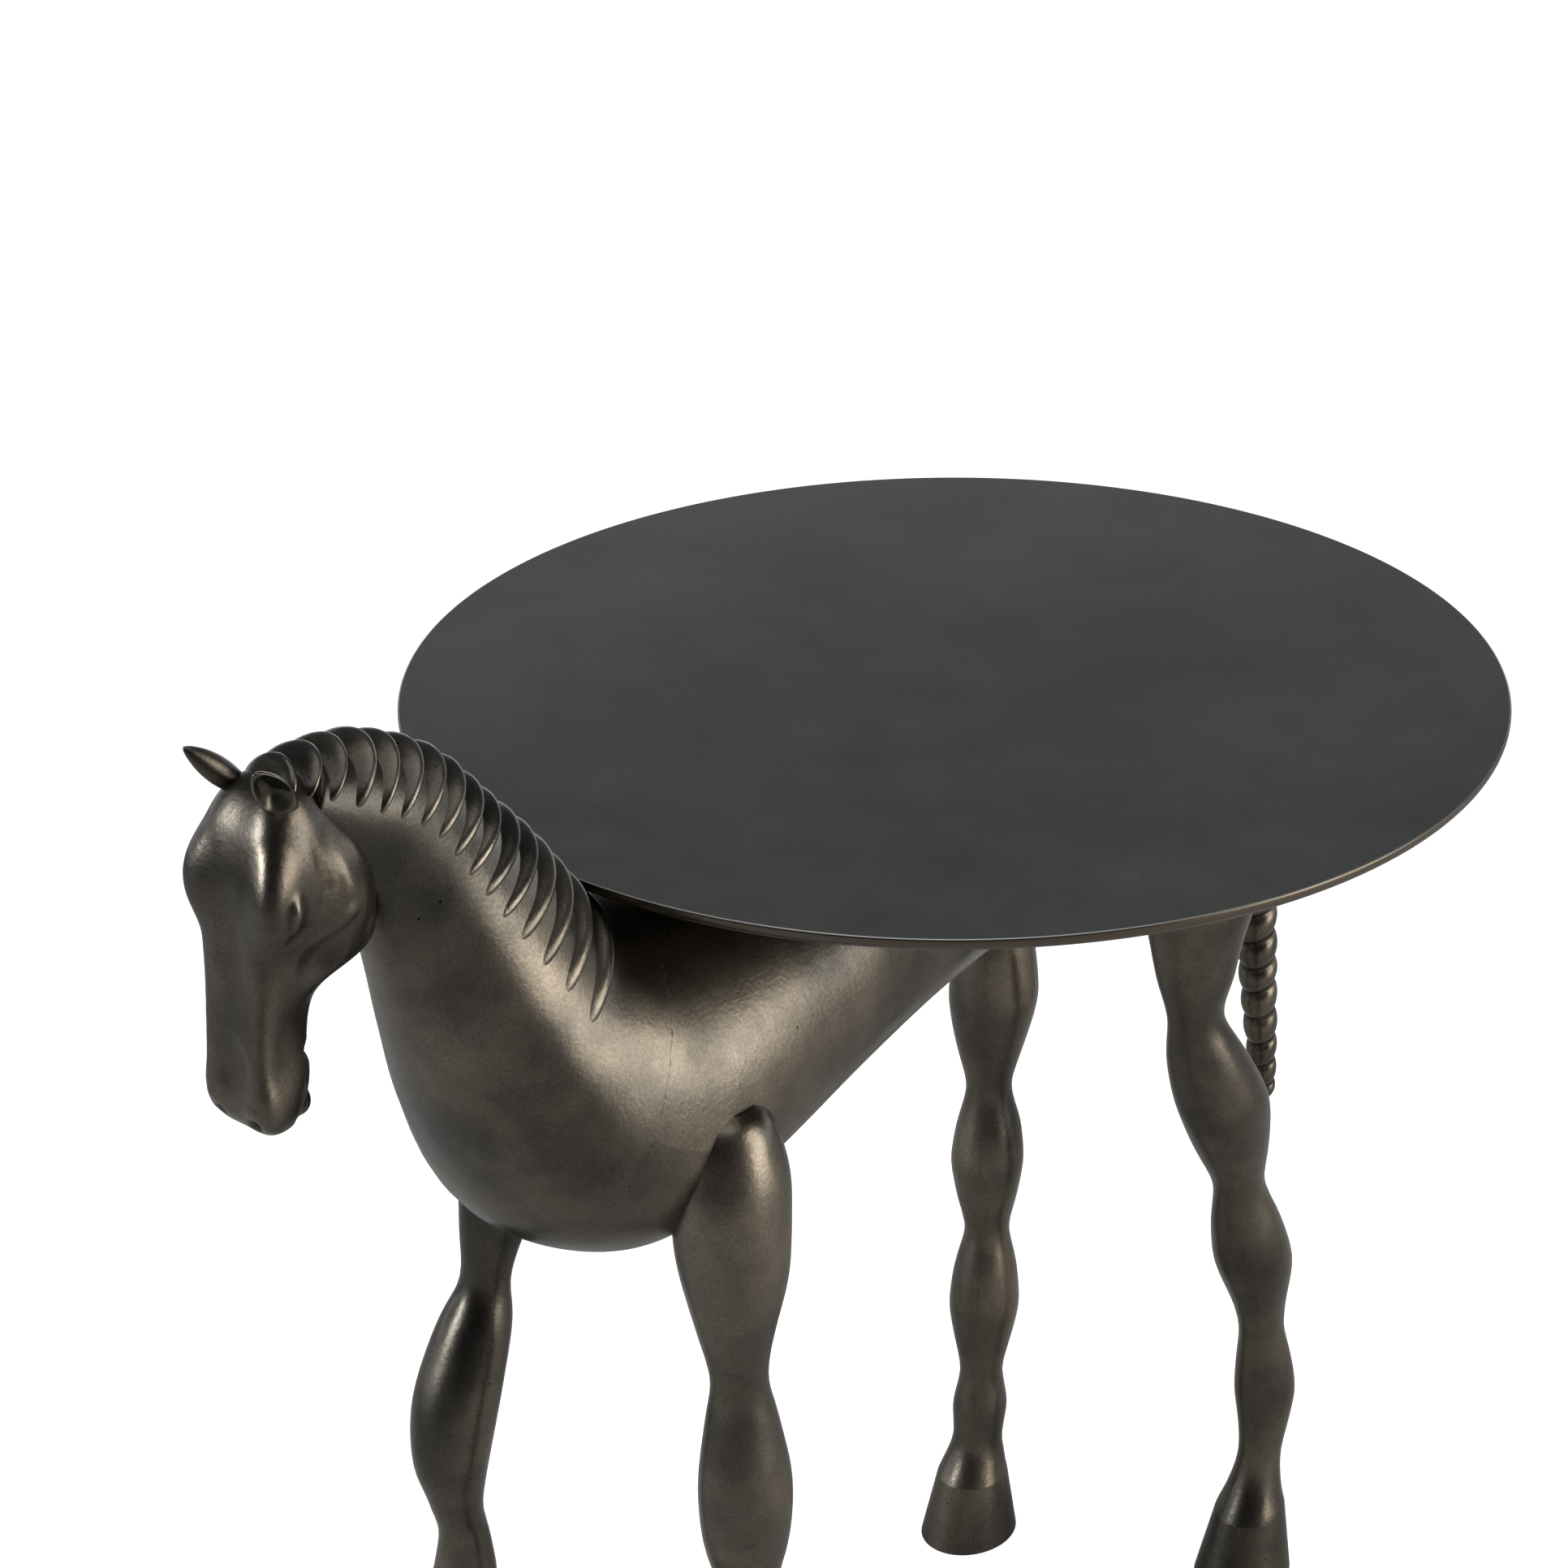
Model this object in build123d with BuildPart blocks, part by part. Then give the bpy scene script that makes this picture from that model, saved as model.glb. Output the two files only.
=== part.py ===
from build123d import *
import math
import os

# Side table: a cast bronze horse that carries a thin round top on its back.
# The horse faces -Y and its left side is +X.  The origin is on the floor, below
# the middle of the whole object.  All sizes are in millimetres.

os.makedirs("parts", exist_ok=True)

# ------------------------------------------------------------------ driving sizes
TABLE_HEIGHT = 559.0        # floor to the upper face of the top
TOP_DIAMETER = 508.0
TOP_THICKNESS = 6.5
TOP_CENTRE_Y = 85.0         # the top sits behind the middle, over the horse's back
EDGE_BREAK = 0.8            # thin bright arris on the upper edge
EDGE_ROUND = 5.0            # rounded underside of the edge

RING_OUTER, RING_INNER = 208.0, 60.0    # backing ring welded below the top
PLATE_THICKNESS = 6.0                   # backing ring and mounting plate alike
SCREW_COUNT = 6
SCREW_CIRCLE = 180.0
SCREW_D, SCREW_LENGTH = 6.0, 11.0
SCREW_HEAD_D, SCREW_HEAD_H, SCREW_HEX = 10.0, 6.0, 5.0
WASHER_D, WASHER_T = 13.0, 1.6

WALL = 5.0                  # casting wall of the hollow body
PAD_D, PAD_T = 34.0, 2.0    # felt pad under each hoof
PIN_D = 10.0                # pins that carry the legs and the tail
CLEARANCE = 0.3             # between the top's edge and the mane
CLEAR_ABOVE = 30.0          # height over the top that the mane keeps out of

TOP_UNDER = TABLE_HEIGHT - TOP_THICKNESS
RING_UNDER = TOP_UNDER - PLATE_THICKNESS
PLATE_UNDER = RING_UNDER - PLATE_THICKNESS

# ------------------------------------------------------------------ body stations
# Each station is a section across the horse from its back (or crest) to its
# belly (or throat): upper (y, z), lower (y, z), half width, and the fraction of
# the way down at which it is widest.
RUMP_TO_CHEST = [
    ((275, 508), (267, 480), 14, 0.50),
    ((264, 521), (248, 442), 36, 0.50),
    ((244, 532), (222, 427), 50, 0.50),
    ((204, 540), (188, 424), 58, 0.50),
    ((144, 543), (136, 430), 60, 0.50),
    ((84, 543), (78, 428), 60, 0.50),
    ((24, 543), (14, 418), 63, 0.52),
    ((-36, 542), (-54, 402), 69, 0.54),
    ((-90, 540), (-117, 385), 74, 0.56),
    ((-127, 538), (-171, 380), 75, 0.58),
    ((-143, 539), (-218, 409), 69, 0.58),
]
NECK_BASE = len(RUMP_TO_CHEST) - 1
CHEST_TO_POLL = [
    ((-160, 546), (-241, 455), 58, 0.58),
    ((-176, 567), (-256, 501), 46.5, 0.56),
    ((-189, 590), (-266, 540), 38, 0.55),
    ((-209, 614), (-275, 572), 31, 0.53),
    ((-238, 641), (-287, 598), 26, 0.50),
    ((-274, 655), (-306, 612), 23, 0.50),
    ((-302, 659), (-322, 630), 18, 0.50),
]
BODY = RUMP_TO_CHEST + CHEST_TO_POLL

# Head, from the poll down to the lips: front of the face, back of the jaw, half
# width, widest fraction measured from the face.
HEAD = [
    ((-322, 663), (-290, 655), 15, 0.50),
    ((-333, 651), (-284, 636), 22.5, 0.45),
    ((-339, 631), (-281, 608), 27.5, 0.36),
    ((-341, 612), (-283, 591), 26.5, 0.38),
    ((-343, 590), (-296, 578), 22, 0.40),
    ((-345.5, 568), (-311, 563), 17.5, 0.40),
    ((-348.5, 547), (-314, 545), 15.5, 0.42),
    ((-350, 530), (-315, 528), 17, 0.45),
    ((-348, 517), (-318, 514), 15, 0.48),
    ((-338, 508), (-324, 508), 8, 0.50),
]

# Legs: centre (x, y), height, half width and half depth.  They read as strings
# of spindle-shaped bulbs with thin necks between them and end in a hoof.
HOOF_TOP = 38.0
LEGS = {
    "front_left_leg": [
        (68, -138, 458, 9, 10), (67, -139, 449, 18, 20), (68, -140, 425, 24, 27),
        (69, -141, 395, 24.5, 27), (70, -141, 372, 22, 24), (70, -141, 345, 16, 17.5),
        (70, -140, 322, 12.5, 13.5), (70, -139, 298, 16, 17.5), (70, -138, 268, 20, 22),
        (70, -138, 240, 19, 21), (70, -138, 212, 13.5, 14.5), (70, -137, 196, 11.5, 12.5),
        (70, -136, 178, 14, 15), (70, -135, 158, 17, 18), (70, -135, 136, 15, 16),
        (70, -136, 112, 10.5, 11.5), (70, -138, 92, 13, 14), (70, -140, 76, 15, 16),
        (70, -143, 58, 13, 14), (70, -147, HOOF_TOP, 18, 20), (70, -152, PAD_T, 24, 28),
    ],
    "front_right_leg": [
        (-68, -138, 458, 9, 10), (-67, -139, 449, 18, 20), (-68, -140, 425, 24, 27),
        (-69, -142, 398, 23.5, 26), (-70, -147, 370, 19, 20.5), (-71, -153, 345, 14.5, 15.5),
        (-72, -158, 323, 11.5, 12.5), (-73, -166, 300, 17, 18.5),
        (-73, -178, 270, 19.5, 21.5), (-73, -184, 240, 17.5, 19), (-73, -183, 212, 12, 13),
        (-73, -180, 196, 11, 12), (-73, -180, 178, 13.5, 14.5), (-73, -184, 156, 16.5, 17.5),
        (-73, -190, 132, 14, 15), (-73, -196, 110, 10.5, 11.5), (-73, -202, 90, 12.5, 13.5),
        (-73, -207, 74, 14.5, 15.5), (-73, -213, 58, 12.5, 13.5),
        (-73, -219, HOOF_TOP, 17.5, 19.5), (-73, -225, PAD_T, 24, 28),
    ],
    "rear_left_leg": [
        (32, 204, 494, 13, 24), (47, 203, 470, 22, 32), (57, 202, 448, 27, 36),
        (61, 199, 425, 26, 32), (62, 196, 403, 22, 25.5),
        (64, 193, 382, 18, 20), (65, 193, 361, 13.5, 15), (66, 202, 335, 19.5, 21),
        (67, 214, 306, 22.5, 25), (67, 223, 277, 18.5, 20.5), (67, 231, 250, 13, 14),
        (67, 238, 226, 17, 18.5), (67, 246, 198, 19.5, 21), (67, 253, 168, 13.5, 14.5),
        (67, 256, 150, 11.5, 12.5), (67, 259, 130, 14, 15), (67, 261, 110, 15.5, 16.5),
        (67, 261, 90, 13, 14), (67, 259, 72, 11, 12), (67, 256, 56, 13, 14),
        (67, 252, HOOF_TOP, 18, 20), (67, 247, PAD_T, 24, 28),
    ],
    "rear_right_leg": [
        (-32, 204, 494, 13, 24), (-47, 203, 470, 22, 32), (-57, 202, 448, 27, 36),
        (-61, 199, 425, 26, 32), (-62, 196, 403, 20, 23),
        (-63, 196, 381, 16, 17.5), (-64, 195, 356, 19.5, 21), (-65, 195, 326, 22.5, 23.5),
        (-66, 194, 299, 17.5, 18.5), (-66, 193, 273, 11.5, 12.5), (-66, 193, 251, 16, 17),
        (-66, 192, 229, 18.5, 19.5), (-66, 192, 206, 15, 16), (-66, 192, 187, 11.5, 12.3),
        (-66, 191, 164, 16, 17), (-66, 190, 141, 18, 19), (-66, 189, 120, 14.5, 15.5),
        (-66, 188, 100, 11, 12), (-66, 187, 79, 14, 15), (-66, 185, 58, 13, 14),
        (-66, 181, HOOF_TOP, 18, 20), (-66, 178, PAD_T, 24, 28),
    ],
}
# Pin of each leg: (y, z) of its axis, which runs along X, and where it ends.
LEG_PINS = {
    "front_left_leg": (-141, 415, 52, 84),
    "front_right_leg": (-142, 412, -82, -50),
    "rear_left_leg": (200, 455, 34, 74),
    "rear_right_leg": (198, 455, -72, -32),
}

# Ears: base and tip of each.  Girths are (how far along, half width, half depth).
EARS = {
    "left_ear": ((15, -325, 652), (21, -338, 675)),
    "right_ear": ((-14, -322, 650), (-20, -342, 673)),
}
EAR_GIRTHS = [(0.0, 6.5, 5.5), (0.35, 7.5, 6.0), (0.7, 5.0, 4.0), (1.0, 1.2, 1.0)]
EAR_BOWL = [(0.3, 3.0, 3.0), (0.55, 5.0, 4.0), (0.8, 3.0, 3.0)]
EAR_BOWL_AHEAD = -4.5       # the bowl is scooped out of the ear's front

# Mane: overlapping locks from the poll to the withers.
LOCK_COUNT = 16
LOCK_THICKNESS = 7.5
LOCK_RISE = 6.0             # how far a lock stands above the crest
LOCK_TUCK = 1.5             # how far its tips run out into the side of the neck
LOCKS_OVER_HEAD, LOCKS_BY_TOP = 4, 5
LOCK_MARGIN = 5.0           # from the poll and the withers to the first and last lock

# Tail: hangs from the rump in a rope of ridges.  It bends at these points.
TAIL_BENDS = [(0, 297, 486), (0, 317, 450), (0, 325, 400), (0, 334, 310)]
TAIL_TIP = (0, 344.5, 226)
TAIL_RADIUS = 12.5
TAIL_RIDGES = 19
TAIL_TAPER = 0.55           # share of the radius lost at the tip
TAIL_TAPER_POWER = 6        # keeps the tail full until near its tip
TAIL_GROOVE = 0.84          # radius of a groove over that of its ridge


# ------------------------------------------------------------------ helpers
def mix(a, b, t):
    """The value or point a fraction t of the way from a to b."""
    if isinstance(a, (int, float)):
        return a + (b - a) * t
    return tuple(mix(p, q, t) for p, q in zip(a, b))


def with_halves(stations):
    """The stations and one more on a smooth curve halfway along each gap.

    Closer sections keep a loft from swinging where the stations are unevenly spaced.
    """
    closer = []
    for index, (near, far) in enumerate(zip(stations, stations[1:])):
        before = stations[max(index - 1, 0)]
        after = stations[min(index + 2, len(stations) - 1)]
        closer += [near, mix(mix(near, far, 0.5), mix(before, after, 0.5), -0.125)]
    return closer + [stations[-1]]


def section_plane(station):
    """Plane of a station, with its origin at the widest point and local Y up."""
    upper, lower, _, widest = station
    up = Vector(0, upper[0] - lower[0], upper[1] - lower[1])
    y, z = mix(upper, lower, widest)
    return Plane(origin=(0, y, z), x_dir=(1, 0, 0), z_dir=Vector(1, 0, 0).cross(up))


def egg(half_width, rise, fall):
    """Closed outline of two half ellipses that share their width."""
    with BuildSketch(mode=Mode.PRIVATE) as outline:
        with BuildLine():
            EllipticalCenterArc((0, 0), half_width, rise, start_angle=0, arc_size=180)
            EllipticalCenterArc((0, 0), half_width, fall, start_angle=180, arc_size=180)
        make_face()
    return outline.sketch


def loft_stations(stations, inset=0.0):
    """Smooth solid through the sections of the stations, each made smaller by inset."""
    with BuildPart() as solid:
        for station in with_halves(stations):
            upper, lower, half_width, widest = station
            depth = math.dist(upper, lower)
            with BuildSketch(section_plane(station)):
                add(egg(half_width - inset, depth * widest - inset, depth * (1 - widest) - inset))
        loft()
    return solid.part


def crest_station(distance):
    """The section at a distance along the crest, measured forward from the withers."""
    for rear, front in zip(BODY[NECK_BASE:], BODY[NECK_BASE + 1:]):
        span = math.dist(rear[0], front[0])
        if distance <= span:
            return mix(rear, front, distance / span)
        distance -= span
    return BODY[-1]


# ------------------------------------------------------------------ round top
with BuildPart() as tabletop:
    with Locations((0, TOP_CENTRE_Y, TOP_UNDER)):
        Cylinder(TOP_DIAMETER / 2, TOP_THICKNESS, align=(Align.CENTER, Align.CENTER, Align.MIN))
    rims = tabletop.edges().filter_by(GeomType.CIRCLE).sort_by(Axis.Z)
    fillet(rims[0], EDGE_ROUND)
    chamfer(rims[-1], EDGE_BREAK)
tabletop.part.label = "tabletop"
export_step(tabletop.part, "parts/tabletop.step")

with BuildPart() as backing_ring:
    with BuildSketch(Plane((0, TOP_CENTRE_Y, RING_UNDER))):
        Circle(RING_OUTER / 2)
        Circle(RING_INNER / 2, mode=Mode.SUBTRACT)
        with PolarLocations(SCREW_CIRCLE / 2, SCREW_COUNT):
            Circle(SCREW_D / 2, mode=Mode.SUBTRACT)
    extrude(amount=PLATE_THICKNESS)
backing_ring.part.label = "backing_ring"
export_step(backing_ring.part, "parts/backing_ring.step")

with BuildPart() as mount_plate:
    with BuildSketch(Plane((0, TOP_CENTRE_Y, PLATE_UNDER))):
        Circle(RING_OUTER / 2)
        with PolarLocations(SCREW_CIRCLE / 2, SCREW_COUNT):
            Circle(SCREW_D / 2, mode=Mode.SUBTRACT)
    extrude(amount=PLATE_THICKNESS)
mount_plate.part.label = "mount_plate"
export_step(mount_plate.part, "parts/mount_plate.step")

with BuildPart() as top_washers:
    with BuildSketch(Plane((0, TOP_CENTRE_Y, PLATE_UNDER - WASHER_T))):
        with PolarLocations(SCREW_CIRCLE / 2, SCREW_COUNT):
            Circle(WASHER_D / 2)
            Circle(SCREW_D / 2, mode=Mode.SUBTRACT)
    extrude(amount=WASHER_T)
top_washers.part.label = "top_washers"
export_step(top_washers.part, "parts/top_washers.step")

screw_seat = PLATE_UNDER - WASHER_T
with BuildPart() as top_screws:
    with BuildSketch(Plane((0, TOP_CENTRE_Y, screw_seat))):
        with PolarLocations(SCREW_CIRCLE / 2, SCREW_COUNT):
            Circle(SCREW_D / 2)
    extrude(amount=SCREW_LENGTH)
    with BuildSketch(Plane((0, TOP_CENTRE_Y, screw_seat - SCREW_HEAD_H))):
        with PolarLocations(SCREW_CIRCLE / 2, SCREW_COUNT):
            Circle(SCREW_HEAD_D / 2)
    extrude(amount=SCREW_HEAD_H)
    with BuildSketch(Plane((0, TOP_CENTRE_Y, screw_seat - SCREW_HEAD_H))):
        with PolarLocations(SCREW_CIRCLE / 2, SCREW_COUNT):
            RegularPolygon(SCREW_HEX / 2, 6, major_radius=False)
    extrude(amount=SCREW_HEAD_H / 2, mode=Mode.SUBTRACT)
top_screws.part.label = "top_screws"
export_step(top_screws.part, "parts/top_screws.step")

# ------------------------------------------------------------------ body castings
body_outer = loft_stations(BODY)
body_cavity = loft_stations(BODY[1:], WALL)
neck_joint = section_plane(BODY[NECK_BASE])

with BuildPart() as leg_pins:
    for y, z, x_start, x_end in LEG_PINS.values():
        with BuildSketch(Plane(origin=(x_start, y, z), x_dir=(0, 1, 0), z_dir=(1, 0, 0))):
            Circle(PIN_D / 2)
        extrude(amount=x_end - x_start)
leg_pins.part.label = "leg_pins"
export_step(leg_pins.part, "parts/leg_pins.step")

with BuildPart() as torso:
    add(body_outer)
    add(body_cavity, mode=Mode.SUBTRACT)
    split(bisect_by=neck_joint, keep=Keep.BOTTOM)
    with BuildSketch(Plane.XY.offset(PLATE_UNDER)):
        with Locations((0, TOP_CENTRE_Y)):
            Circle(RING_OUTER / 2)
    extrude(amount=PLATE_THICKNESS, mode=Mode.SUBTRACT)
    add(leg_pins.part, mode=Mode.SUBTRACT)
torso.part.label = "torso"
export_step(torso.part, "parts/torso.step")

with BuildPart() as top_gap:
    with BuildSketch(Plane((0, TOP_CENTRE_Y, TOP_UNDER - CLEARANCE))):
        Circle(TOP_DIAMETER / 2 + CLEARANCE)
    extrude(amount=TOP_THICKNESS + CLEARANCE + CLEAR_ABOVE)

with BuildPart() as neck:
    add(body_outer)
    add(body_cavity, mode=Mode.SUBTRACT)
    split(bisect_by=neck_joint, keep=Keep.TOP)
    add(top_gap.part, mode=Mode.SUBTRACT)
neck.part.label = "neck"
export_step(neck.part, "parts/neck.step")

with BuildPart() as head:
    add(loft_stations(HEAD))
    add(body_outer, mode=Mode.SUBTRACT)
head.part.label = "head"
export_step(head.part, "parts/head.step")

# ------------------------------------------------------------------ ears
def tapered(base, tip, girths, shift=0.0):
    """Solid through ellipses set along the line from base to tip."""
    along = (Vector(*tip) - Vector(*base)).normalized()
    ahead = Vector(1, 0, 0).cross(along)
    with BuildPart() as solid:
        for t, wide, deep in girths:
            centre = Vector(*mix(base, tip, t)) + ahead * shift
            with BuildSketch(Plane(origin=centre, x_dir=(1, 0, 0), z_dir=along)):
                Ellipse(wide, deep)
        loft()
    return solid.part


ears = {}
for name, (base, tip) in EARS.items():
    with BuildPart() as ear:
        add(tapered(base, tip, EAR_GIRTHS))
        add(tapered(base, tip, EAR_BOWL, EAR_BOWL_AHEAD), mode=Mode.SUBTRACT)
        add(head.part, mode=Mode.SUBTRACT)
        add(body_outer, mode=Mode.SUBTRACT)
    ear.part.label = name
    ears[name] = ear.part
    export_step(ear.part, f"parts/{name}.step")

# ------------------------------------------------------------------ mane
crest = [station[0] for station in BODY[NECK_BASE:]]
crest_length = sum(math.dist(a, b) for a, b in zip(crest, crest[1:]))
lock_pitch = (crest_length - 2 * LOCK_MARGIN) / (LOCK_COUNT - 1)
for number in range(LOCK_COUNT):
    upper, lower, half_width, widest = crest_station(crest_length - LOCK_MARGIN - lock_pitch * number)
    depth = math.dist(upper, lower)
    name = f"mane_lock_{number + 1:02d}"
    with BuildPart() as lock:
        with BuildSketch(section_plane((upper, lower, half_width, widest))):
            add(egg(half_width - LOCK_TUCK, depth * widest + LOCK_RISE, LOCK_RISE))
        extrude(amount=LOCK_THICKNESS / 2, both=True)
        add(body_outer, mode=Mode.SUBTRACT)
        if number < LOCKS_OVER_HEAD:
            add(head.part, mode=Mode.SUBTRACT)
        if number >= LOCK_COUNT - LOCKS_BY_TOP:
            add(top_gap.part, mode=Mode.SUBTRACT)
    lock.part.label = name
    export_step(lock.part, f"parts/{name}.step")

# ------------------------------------------------------------------ legs and pads
for name, stations in LEGS.items():
    with BuildPart() as leg:
        for x, y, z, half_x, half_y in with_halves(stations[:-1]):
            with BuildSketch(Plane((x, y, z))):
                Ellipse(half_x, half_y)
        loft()
        for x, y, z, half_x, half_y in stations[-2:]:
            with BuildSketch(Plane((x, y, z))):
                Ellipse(half_x, half_y)
        loft(ruled=True)
        add(body_outer, mode=Mode.SUBTRACT)
        add(leg_pins.part, mode=Mode.SUBTRACT)
    leg.part.label = name
    export_step(leg.part, f"parts/{name}.step")

with BuildPart() as foot_pads:
    for stations in LEGS.values():
        x, y = stations[-1][:2]
        with BuildSketch(Plane((x, y, 0))):
            Circle(PAD_D / 2)
        extrude(amount=PAD_T)
foot_pads.part.label = "foot_pads"
export_step(foot_pads.part, "parts/foot_pads.step")

# ------------------------------------------------------------------ tail
tail_seat = section_plane(BODY[0])
with BuildLine() as tail_path:
    Spline(tail_seat.origin, *TAIL_BENDS, TAIL_TIP)
path = tail_path.line
with BuildPart() as tail:
    for half_pitch in range(2 * TAIL_RIDGES + 1):
        t = half_pitch / (2 * TAIL_RIDGES)
        girth = TAIL_RADIUS * (1 - TAIL_TAPER * t ** TAIL_TAPER_POWER)
        groove = 1.0 if half_pitch % 2 else TAIL_GROOVE
        ahead = path % t if half_pitch else -tail_seat.z_dir
        with BuildSketch(Plane(origin=path @ t, x_dir=(1, 0, 0), z_dir=ahead)):
            Circle(girth * groove)
    loft(ruled=True)
tail.part.label = "tail"
export_step(tail.part, "parts/tail.step")

whole = Compound([tabletop.part, head.part, ears["left_ear"], tail.part, foot_pads.part])
print("overall box", whole.bounding_box())
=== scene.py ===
# %% [markdown]
# # A bronze horse that carries a round table top
# The castings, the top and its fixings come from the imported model, which is the
# fixed frame.  This file gives them their patina and models what a plain casting
# drawing leaves out: the carved head, the ears, the overlapping mane and the tail.

import math

import bpy
from mathutils import Matrix, Vector


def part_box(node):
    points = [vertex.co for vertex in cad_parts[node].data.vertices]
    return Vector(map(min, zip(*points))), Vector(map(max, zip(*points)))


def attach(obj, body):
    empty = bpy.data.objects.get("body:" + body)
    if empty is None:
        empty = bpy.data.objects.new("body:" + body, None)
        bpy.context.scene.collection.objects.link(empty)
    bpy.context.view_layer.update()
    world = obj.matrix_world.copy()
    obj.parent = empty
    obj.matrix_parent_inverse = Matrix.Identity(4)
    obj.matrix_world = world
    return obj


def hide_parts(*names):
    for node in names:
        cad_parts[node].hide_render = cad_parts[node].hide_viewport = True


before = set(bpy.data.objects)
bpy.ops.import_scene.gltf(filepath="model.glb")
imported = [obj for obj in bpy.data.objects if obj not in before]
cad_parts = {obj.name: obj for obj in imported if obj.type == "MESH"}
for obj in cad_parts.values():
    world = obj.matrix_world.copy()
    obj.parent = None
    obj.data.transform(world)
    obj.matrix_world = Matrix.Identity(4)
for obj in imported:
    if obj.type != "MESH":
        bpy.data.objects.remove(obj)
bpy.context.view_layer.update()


# %% [markdown]
# ## The patina
# The horse is cast bronze, darkened with a hot patina and waxed: brown grey, with
# warm worn clouds, fine grain and a few dark pits.  A painted colour would look
# flat, so noise on three scales mixes dark and warm bronze, and a finer noise
# drives the roughness and a shallow bump.

# %% Node helpers
def add_node(tree, kind, **settings):
    node = tree.nodes.new(kind)
    for name, value in settings.items():
        if name in node.inputs:
            node.inputs[name].default_value = value
        else:
            setattr(node, name, value)
    return node


def noise(tree, coordinates, scale, detail=4.0, roughness=0.55):
    node = add_node(tree, "ShaderNodeTexNoise", Scale=scale, Detail=detail, Roughness=roughness)
    tree.links.new(coordinates, node.inputs["Vector"])
    return node.outputs["Fac"]


def ramp(tree, value, low, high, low_colour, high_colour):
    node = tree.nodes.new("ShaderNodeValToRGB")
    node.color_ramp.elements[0].position = low
    node.color_ramp.elements[1].position = high
    node.color_ramp.elements[0].color = (*low_colour, 1)
    node.color_ramp.elements[1].color = (*high_colour, 1)
    tree.links.new(value, node.inputs["Fac"])
    return node.outputs["Color"]


def blend_colours(tree, mode, amount, first, second):
    node = tree.nodes.new("ShaderNodeMix")
    node.data_type = "RGBA"
    node.blend_type = mode
    if isinstance(amount, float):
        node.inputs["Factor"].default_value = amount
    else:
        tree.links.new(amount, node.inputs["Factor"])
    tree.links.new(first, node.inputs["A"])
    tree.links.new(second, node.inputs["B"])
    return node.outputs["Result"]


# %% Bronze with a waxed patina
MOTTLE_HIGH = (1.1, 1.08, 1.04)     # warm light patches between the mottling
GRAIN_DARK = (0.66, 0.66, 0.66)     # dark ends of the fine grain


def make_bronze(name, dark, warm, cloud_scale, mottle_low, rough_low, rough_high,
                grain_depth, pit_amount):
    material = bpy.data.materials.new(name)
    material.use_nodes = True
    tree = material.node_tree
    shader = tree.nodes["Principled BSDF"]
    shader.inputs["Metallic"].default_value = 1.0
    where = tree.nodes.new("ShaderNodeTexCoord").outputs["Object"]
    clouds = ramp(tree, noise(tree, where, cloud_scale, 4.0), 0.36, 0.68, dark, warm)
    mottle = ramp(tree, noise(tree, where, 26.0, 5.0, 0.65), 0.30, 0.72, mottle_low, MOTTLE_HIGH)
    mottled = blend_colours(tree, "MULTIPLY", 1.0, clouds, mottle)
    grain = ramp(tree, noise(tree, where, 950.0, 2.0), 0.3, 0.75, GRAIN_DARK, (1.0, 1.0, 1.0))
    speckled = blend_colours(tree, "MULTIPLY", 1.0, mottled, grain)
    pits = add_node(tree, "ShaderNodeTexVoronoi", Scale=85.0)
    tree.links.new(where, pits.inputs["Vector"])
    sparse = ramp(tree, noise(tree, where, 14.0, 2.0), 0.52, 0.60, (0, 0, 0), (1, 1, 1))
    dots = ramp(tree, pits.outputs["Distance"], 0.03, 0.06, (pit_amount,) * 3, (0, 0, 0))
    pitted = blend_colours(tree, "MULTIPLY", 1.0, dots, sparse)
    colour = blend_colours(tree, "SUBTRACT", 1.0, speckled, pitted)
    tree.links.new(colour, shader.inputs["Base Color"])
    rough = add_node(tree, "ShaderNodeMapRange")
    tree.links.new(noise(tree, where, 28.0, 5.0), rough.inputs["Value"])
    rough.inputs["From Min"].default_value = 0.3
    rough.inputs["From Max"].default_value = 0.7
    rough.inputs["To Min"].default_value = rough_low
    rough.inputs["To Max"].default_value = rough_high
    tree.links.new(rough.outputs["Result"], shader.inputs["Roughness"])
    height = add_node(tree, "ShaderNodeMath", operation="SUBTRACT")
    tree.links.new(noise(tree, where, 420.0, 3.0), height.inputs[0])
    tree.links.new(pitted, height.inputs[1])
    bump = add_node(tree, "ShaderNodeBump", Strength=0.35, Distance=grain_depth)
    tree.links.new(height.outputs[0], bump.inputs["Height"])
    tree.links.new(bump.outputs["Normal"], shader.inputs["Normal"])
    return material


horse_bronze = make_bronze(
    "horse_bronze", dark=(0.062, 0.059, 0.052), warm=(0.235, 0.202, 0.160), cloud_scale=8.0,
    mottle_low=(0.66, 0.68, 0.72), rough_low=0.25, rough_high=0.40, grain_depth=0.0003, pit_amount=0.10)
top_bronze = make_bronze(
    "top_bronze", dark=(0.112, 0.117, 0.114), warm=(0.205, 0.213, 0.178), cloud_scale=3.0,
    mottle_low=(0.90, 0.90, 0.91), rough_low=0.30, rough_high=0.38, grain_depth=0.0001, pit_amount=0.0)
print("bronze:", horse_bronze.name, top_bronze.name)
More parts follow.
